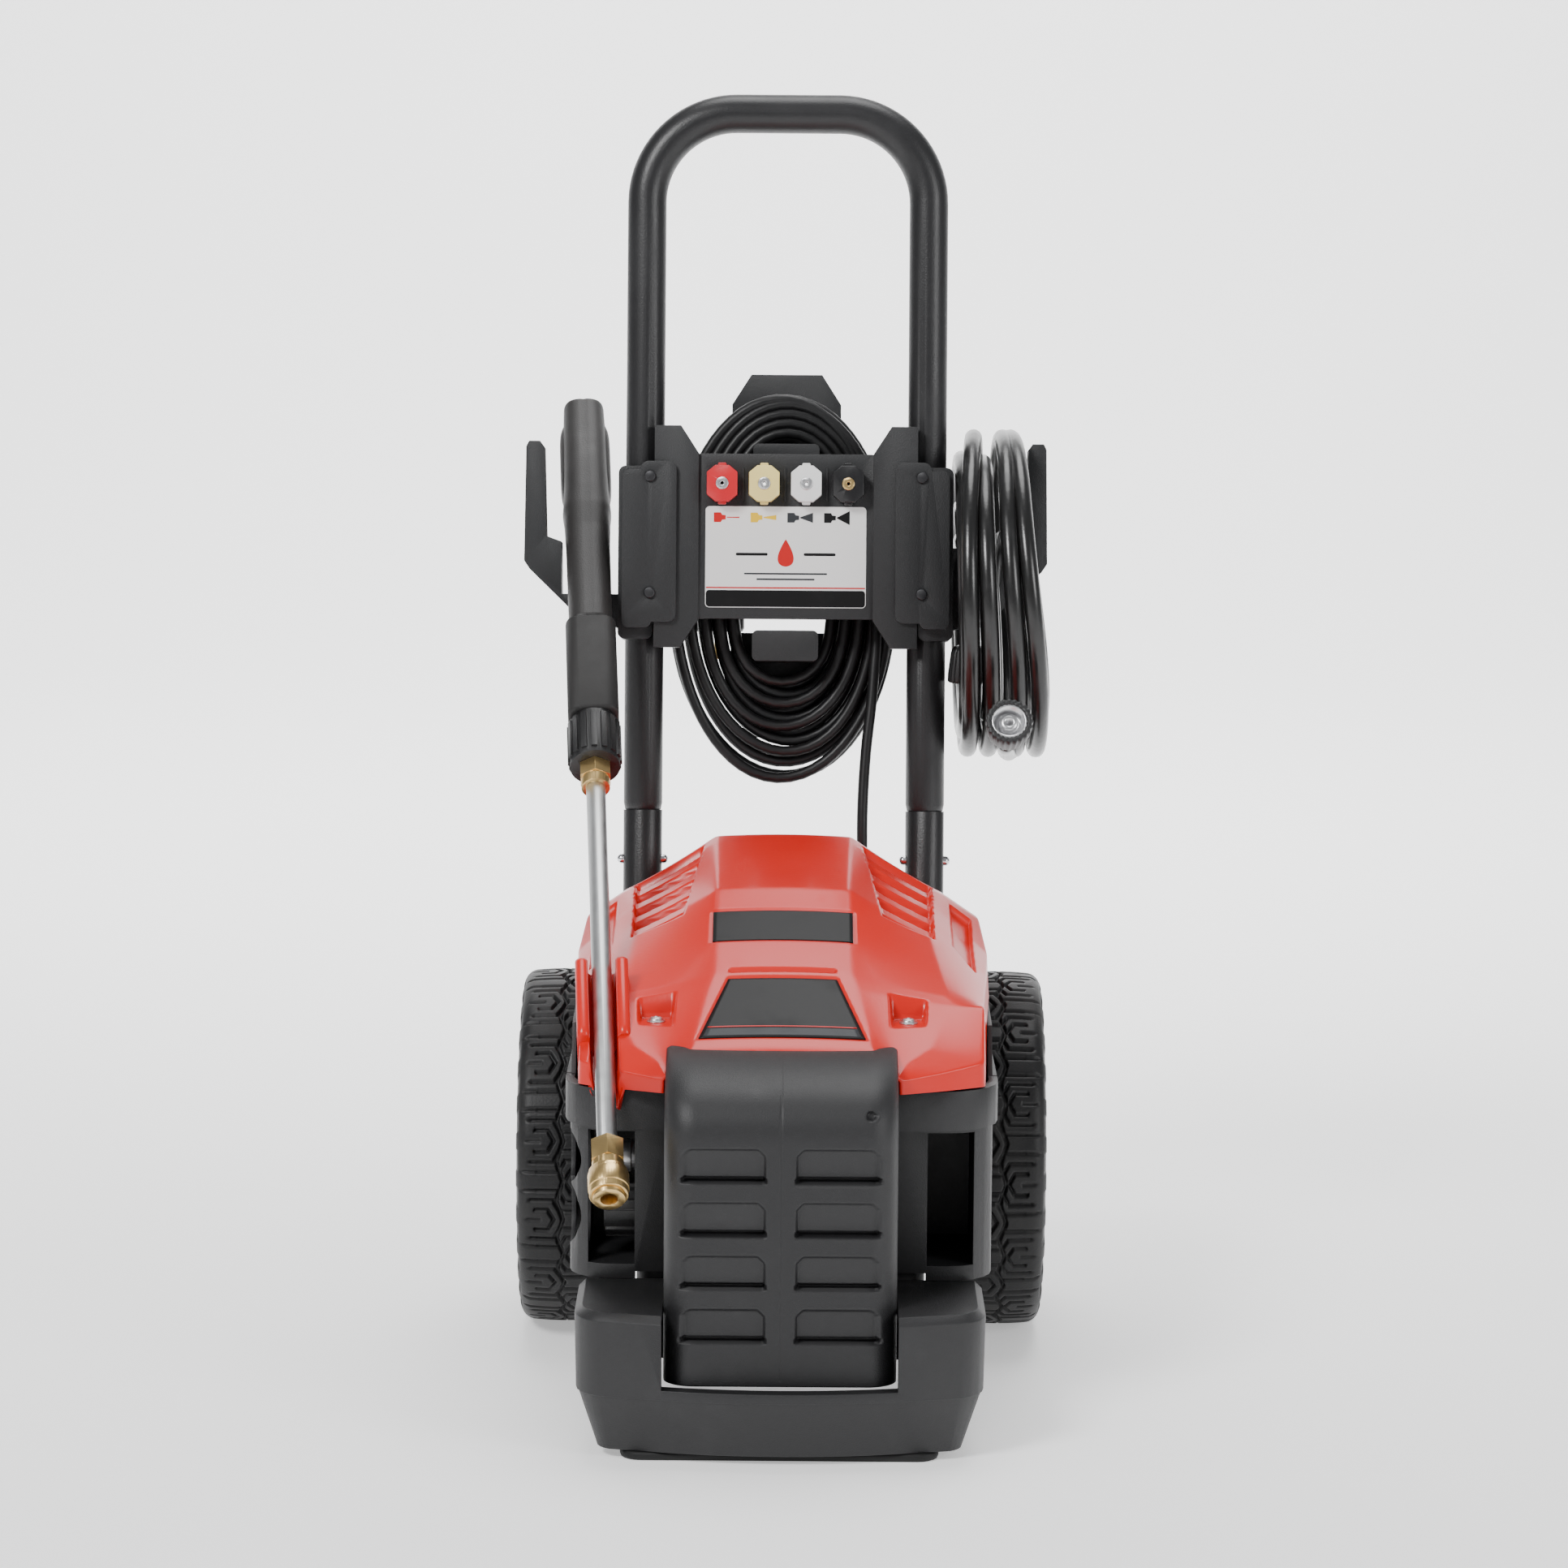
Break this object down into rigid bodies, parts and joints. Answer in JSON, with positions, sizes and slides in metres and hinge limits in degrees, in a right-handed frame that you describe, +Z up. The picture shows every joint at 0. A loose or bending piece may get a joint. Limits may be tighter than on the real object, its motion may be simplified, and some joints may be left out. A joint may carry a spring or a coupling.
{
  "type": "pressure washer",
  "caption": "Wheeled electric pressure washer with a tube handle, hooks holding a spray gun with lance, a coiled hose and cord, and a rack of spray nozzles.",
  "frame": {"origin": "on the floor under the middle of the machine, measured without the hose, the cord and what is on them", "axes": "+Z up, the louvred front faces -Y, the handle is at the +Y end, +X is the side with the hose hook"},
  "size_m": [0.38, 0.6802, 0.88],
  "materials": {
    "tube_paint": "satin powder coat",
    "button_steel": "bright domed steel",
    "body_plastic": "satin moulded",
    "zinc_steel": "zinc plated",
    "rim_plastic": "moulded",
    "tyre_rubber": "matt tread",
    "foot_rubber": "matt",
    "hood_red": "glossy moulded",
    "label_film": "printed film",
    "switch_red": "glossy",
    "motor_paint": "cast and painted",
    "shaft_steel": "ground",
    "fan_plastic": "moulded",
    "capacitor_case": "moulded",
    "pump_alloy": "die cast",
    "brass": "machined",
    "panel_plastic": "satin moulded",
    "screw_black": "black zinc",
    "nozzle_red": "moulded",
    "nozzle_yellow": "moulded",
    "nozzle_white": "moulded",
    "nozzle_black": "moulded",
    "gun_plastic": "satin moulded",
    "collar_plastic": "ribbed moulded",
    "lance_steel": "drawn stainless tube",
    "hose_pvc": "glossy flexible hose",
    "nut_black": "ribbed nut",
    "cord_rubber": "flexible cord jacket"
  },
  "bodies": {
    "machine": {"handle_tube": "tube_paint", "frame_tube_left": "tube_paint", "frame_tube_right": "tube_paint", "chassis": "body_plastic", "bumper": "body_plastic", "front_cowl": "body_plastic", "body_shell": "body_plastic", "rear_cover": "body_plastic", "axle": "zinc_steel", "axle_fasteners": "zinc_steel", "hood_screws": "zinc_steel", "rubber_foot": "foot_rubber", "hood": "hood_red", "labels": "label_film", "motor_housing": "motor_paint", "pistons": "shaft_steel", "capacitor": "capacitor_case", "pump_body": "pump_alloy", "pump_head": "brass", "outlet_fitting": "brass", "handle_panel": "panel_plastic", "hook_left": "panel_plastic", "hook_right": "panel_plastic", "cord_wraps": "panel_plastic", "bracket_screws": "screw_black", "hose_coil": "hose_pvc", "cord_gland": "cord_rubber", "cord_ends": "cord_rubber", "cord_coil": "cord_rubber", "plug": "cord_rubber"},
    "wheel_left": {"rim_left": "rim_plastic", "tyre_left": "tyre_rubber"},
    "wheel_right": {"rim_right": "rim_plastic", "tyre_right": "tyre_rubber"},
    "button_left_outer": {"snap_button_left_outer": "button_steel"},
    "button_left_inner": {"snap_button_left_inner": "button_steel"},
    "button_right_inner": {"snap_button_right_inner": "button_steel"},
    "button_right_outer": {"snap_button_right_outer": "button_steel"},
    "rotor": {"rotor_shaft": "shaft_steel", "cooling_fan": "fan_plastic", "wobble_plate": "shaft_steel"},
    "switch": {"power_switch": "switch_red"},
    "inlet_swivel": {"inlet_nut": "collar_plastic"},
    "nozzle_1": {"nozzle_red": "nozzle_red"},
    "nozzle_2": {"nozzle_yellow": "nozzle_yellow"},
    "nozzle_3": {"nozzle_white": "nozzle_white"},
    "nozzle_4": {"nozzle_black": "nozzle_black"},
    "gun": {"gun_shell_left": "gun_plastic", "gun_shell_right": "gun_plastic", "gun_valve": "brass", "gun_grip": "gun_plastic", "gun_collar": "collar_plastic", "lance_adapter": "brass", "lance_tube": "lance_steel", "coupler_body": "brass"},
    "trigger": {"trigger": "collar_plastic"},
    "trigger_lock": {"trigger_lock": "switch_red"},
    "coupler_sleeve": {"coupler_sleeve": "brass"},
    "hose_swivel_a": {"hose_nut_a": "nut_black"},
    "hose_swivel_b": {"hose_nut_b": "nut_black"}
  },
  "joints": [
    {"name": "wheel_left_spin", "type": "hinge", "parent": "machine", "child": "wheel_left", "pos_m": [-0.155, 0.072, 0.127], "axis": [1, 0, 0], "continuous": true},
    {"name": "wheel_right_spin", "type": "hinge", "parent": "machine", "child": "wheel_right", "pos_m": [0.155, 0.072, 0.127], "axis": [1, 0, 0], "continuous": true},
    {"name": "button_left_outer_press", "type": "slide", "parent": "machine", "child": "button_left_outer", "axis": [1, 0, 0], "range_m": [0, 0.0045], "stiffness_N_per_m": 700, "springref_m": -0.004},
    {"name": "button_left_inner_press", "type": "slide", "parent": "machine", "child": "button_left_inner", "axis": [-1, 0, 0], "range_m": [0, 0.0045], "stiffness_N_per_m": 700, "springref_m": -0.004},
    {"name": "button_right_inner_press", "type": "slide", "parent": "machine", "child": "button_right_inner", "axis": [1, 0, 0], "range_m": [0, 0.0045], "stiffness_N_per_m": 700, "springref_m": -0.004},
    {"name": "button_right_outer_press", "type": "slide", "parent": "machine", "child": "button_right_outer", "axis": [-1, 0, 0], "range_m": [0, 0.0045], "stiffness_N_per_m": 700, "springref_m": -0.004},
    {"name": "rotor_spin", "type": "hinge", "parent": "machine", "child": "rotor", "pos_m": [0, -0.028, 0.185], "axis": [0, 1, 0], "continuous": true},
    {"name": "switch_rock", "type": "hinge", "parent": "machine", "child": "switch", "pos_m": [0, 0.1325, 0.266], "axis": [-1, 0, 0], "range_deg": [0, 12]},
    {"name": "inlet_nut_spin", "type": "hinge", "parent": "machine", "child": "inlet_swivel", "pos_m": [-0.106, -0.196, 0.14], "axis": [-1, 0, 0], "continuous": true},
    {"name": "nozzle_1_pull", "type": "slide", "parent": "machine", "child": "nozzle_1", "axis": [0, -0.9903, 0.1392], "range_m": [0, 0.03]},
    {"name": "nozzle_2_pull", "type": "slide", "parent": "machine", "child": "nozzle_2", "axis": [0, -0.9903, 0.1392], "range_m": [0, 0.03]},
    {"name": "nozzle_3_pull", "type": "slide", "parent": "machine", "child": "nozzle_3", "axis": [0, -0.9903, 0.1392], "range_m": [0, 0.03]},
    {"name": "nozzle_4_pull", "type": "slide", "parent": "machine", "child": "nozzle_4", "axis": [0, -0.9903, 0.1392], "range_m": [0, 0.03]},
    {"name": "gun_lift", "type": "slide", "parent": "machine", "child": "gun", "axis": [0, 0, 1], "range_m": [0, 0.2]},
    {"name": "trigger_pull", "type": "hinge", "parent": "gun", "child": "trigger", "pos_m": [-0.14692, 0.20346, 0.57771], "axis": [0.9985, 0.0426, 0.0341], "range_deg": [0, 16], "stiffness_Nm_per_rad": 0.6, "springref_deg": -11.46},
    {"name": "trigger_lock_turn", "type": "hinge", "parent": "gun", "child": "trigger_lock", "pos_m": [-0.14987, 0.28806, 0.55835], "axis": [-0.9985, -0.0426, -0.0341], "range_deg": [0, 60]},
    {"name": "coupler_sleeve_pull", "type": "slide", "parent": "gun", "child": "coupler_sleeve", "axis": [-0.0546, 0.7793, 0.6243], "range_m": [0, 0.005], "stiffness_N_per_m": 500, "springref_m": -0.004},
    {"name": "hose_nut_a_spin", "type": "hinge", "parent": "machine", "child": "hose_swivel_a", "pos_m": [0.158, 0.008, 0.446], "axis": [0, -0.8829, 0.4695], "continuous": true},
    {"name": "hose_nut_b_spin", "type": "hinge", "parent": "machine", "child": "hose_swivel_b", "pos_m": [0.135, 0.127, 0.459], "axis": [0, 0, -1], "continuous": true}
  ]
}
